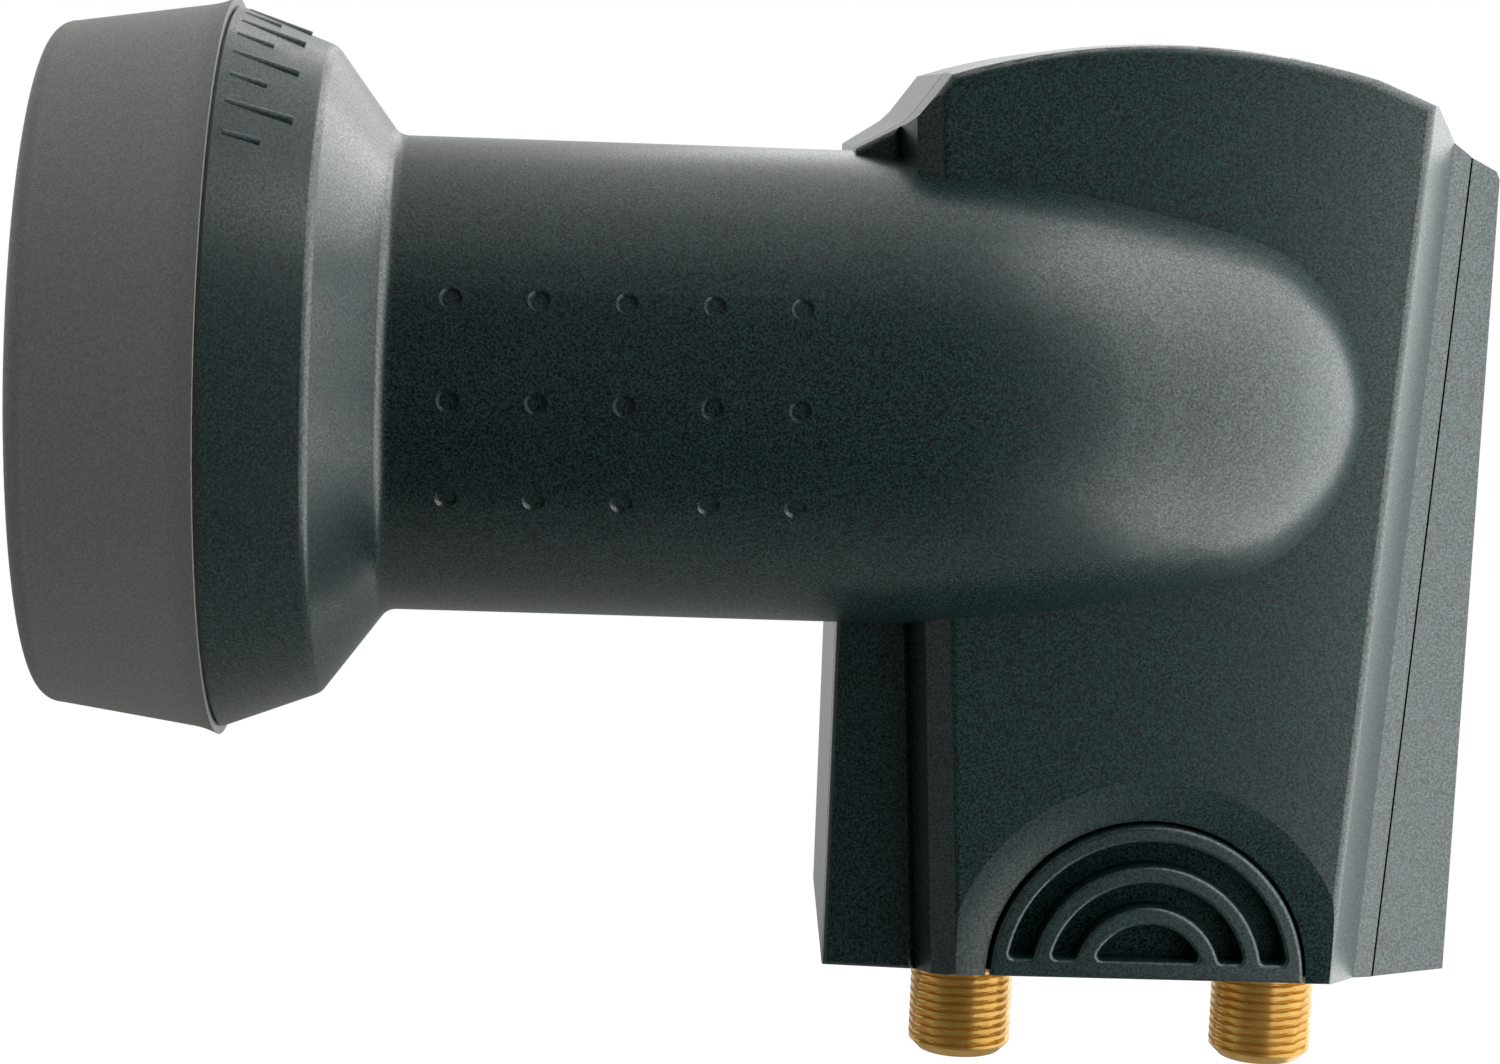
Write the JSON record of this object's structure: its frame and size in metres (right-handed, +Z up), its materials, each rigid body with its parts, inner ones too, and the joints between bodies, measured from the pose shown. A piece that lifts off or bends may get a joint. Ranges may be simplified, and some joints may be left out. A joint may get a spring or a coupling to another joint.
{
  "type": "satellite converter",
  "caption": "Satellite feed-horn converter with a round clamp neck, a capped horn, a deep box body, threaded connectors below and a slide-out weather guard.",
  "frame": {"origin": "middle of the 40 mm clamp neck, on the waveguide axis", "axes": "+X along the neck from the feed cap to the body, +Z up away from the connectors, -Y towards the half with the grip"},
  "size_m": [0.1221, 0.0625, 0.0945],
  "materials": {
    "shell_plastic": "anthracite, fine spark-eroded grain",
    "guard_plastic": "anthracite, fine grain",
    "cap_plastic": "warm grey, satin",
    "seal_rubber": "matt",
    "cast_alloy": "die-cast",
    "lid_alloy": "pressed sheet",
    "screw_steel": "zinc plated",
    "board_laminate": "solder mask",
    "shield_tin": "tin plated",
    "probe_brass": "bright",
    "gilt_brass": "gold plated",
    "insulator_plastic": "white",
    "chip_plastic": "moulded"
  },
  "bodies": {
    "housing": {"near_shell": "shell_plastic", "far_shell": "shell_plastic", "feed_cap": "cap_plastic", "cap_seal": "seal_rubber", "chassis": "cast_alloy", "chassis_lid": "lid_alloy", "lid_seal": "seal_rubber", "lid_screws": "screw_steel", "circuit_board": "board_laminate", "shield_frame": "shield_tin", "probe_straight": "probe_brass", "probe_bent": "probe_brass", "probe_bush_straight": "insulator_plastic", "probe_bush_bent": "insulator_plastic", "septum_pin": "screw_steel", "crystal": "shield_tin", "converter_chip": "chip_plastic", "regulator": "chip_plastic", "amplifier_transistors": "chip_plastic", "barrel_left": "gilt_brass", "barrel_right": "gilt_brass", "insulator_left": "insulator_plastic", "insulator_right": "insulator_plastic", "contact_left": "probe_brass", "contact_right": "probe_brass", "barrel_seal_left": "seal_rubber", "barrel_seal_right": "seal_rubber", "shell_screws": "screw_steel"},
    "guard": {"weather_guard": "guard_plastic"}
  },
  "joints": [
    {"name": "guard_slide", "type": "slide", "parent": "housing", "child": "guard", "axis": [0, 0, -1], "range_m": [0, 0.022]}
  ]
}
